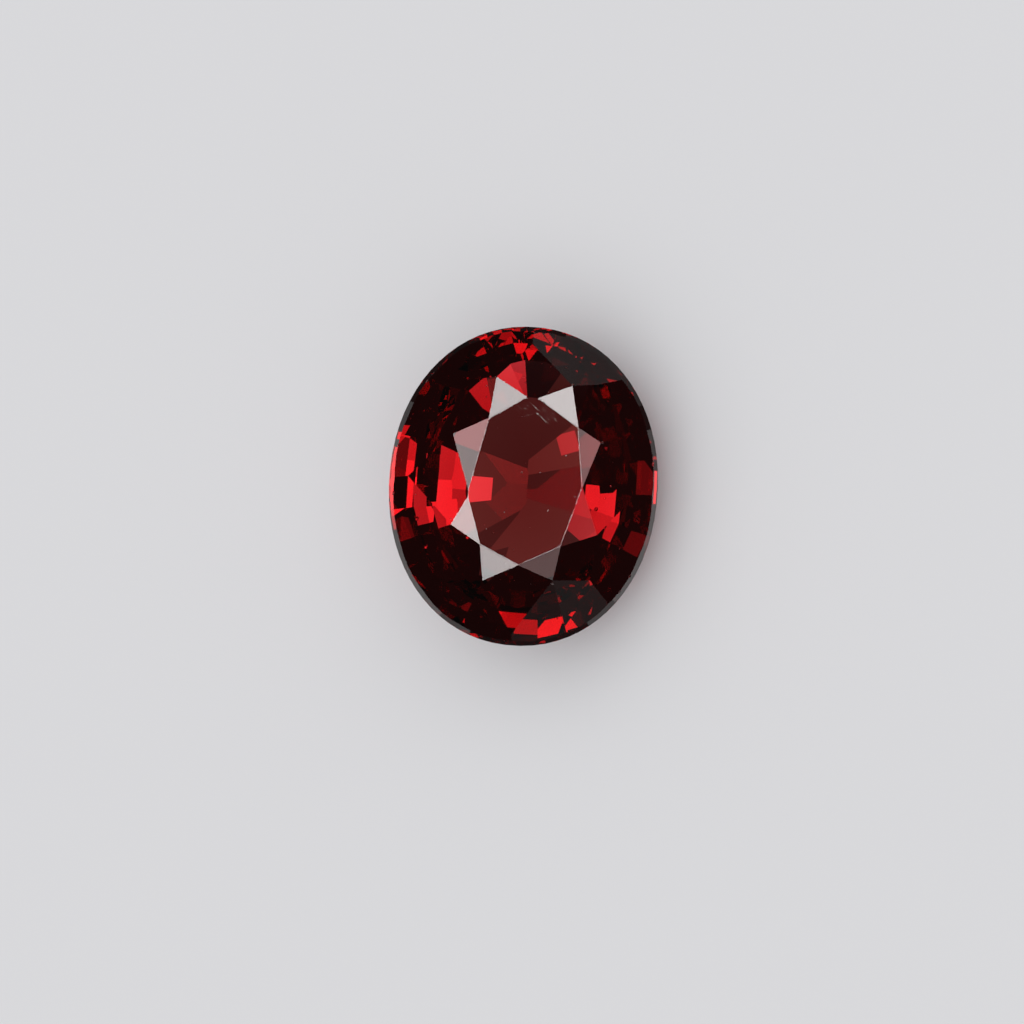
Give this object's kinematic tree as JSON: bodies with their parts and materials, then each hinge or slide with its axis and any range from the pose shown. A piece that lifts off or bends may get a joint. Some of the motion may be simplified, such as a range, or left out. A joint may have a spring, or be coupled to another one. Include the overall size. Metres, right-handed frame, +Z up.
{
  "type": "cut garnet gemstone",
  "caption": "Loose oval mixed-cut red garnet: a brilliant crown with an uneven table over a step-cut pavilion, lying on one of its lower facets.",
  "frame": {"origin": "on the surface that the stone lies on, under the middle of its box", "axes": "+Z up from that surface, +X along the stone's length, the table facing up and towards -Y"},
  "size_m": [0.0072, 0.0056, 0.0038],
  "materials": {
    "garnet": "polished facets, deep red and see-through"
  },
  "bodies": {
    "root": {"garnet": "garnet"}
  },
  "joints": []
}
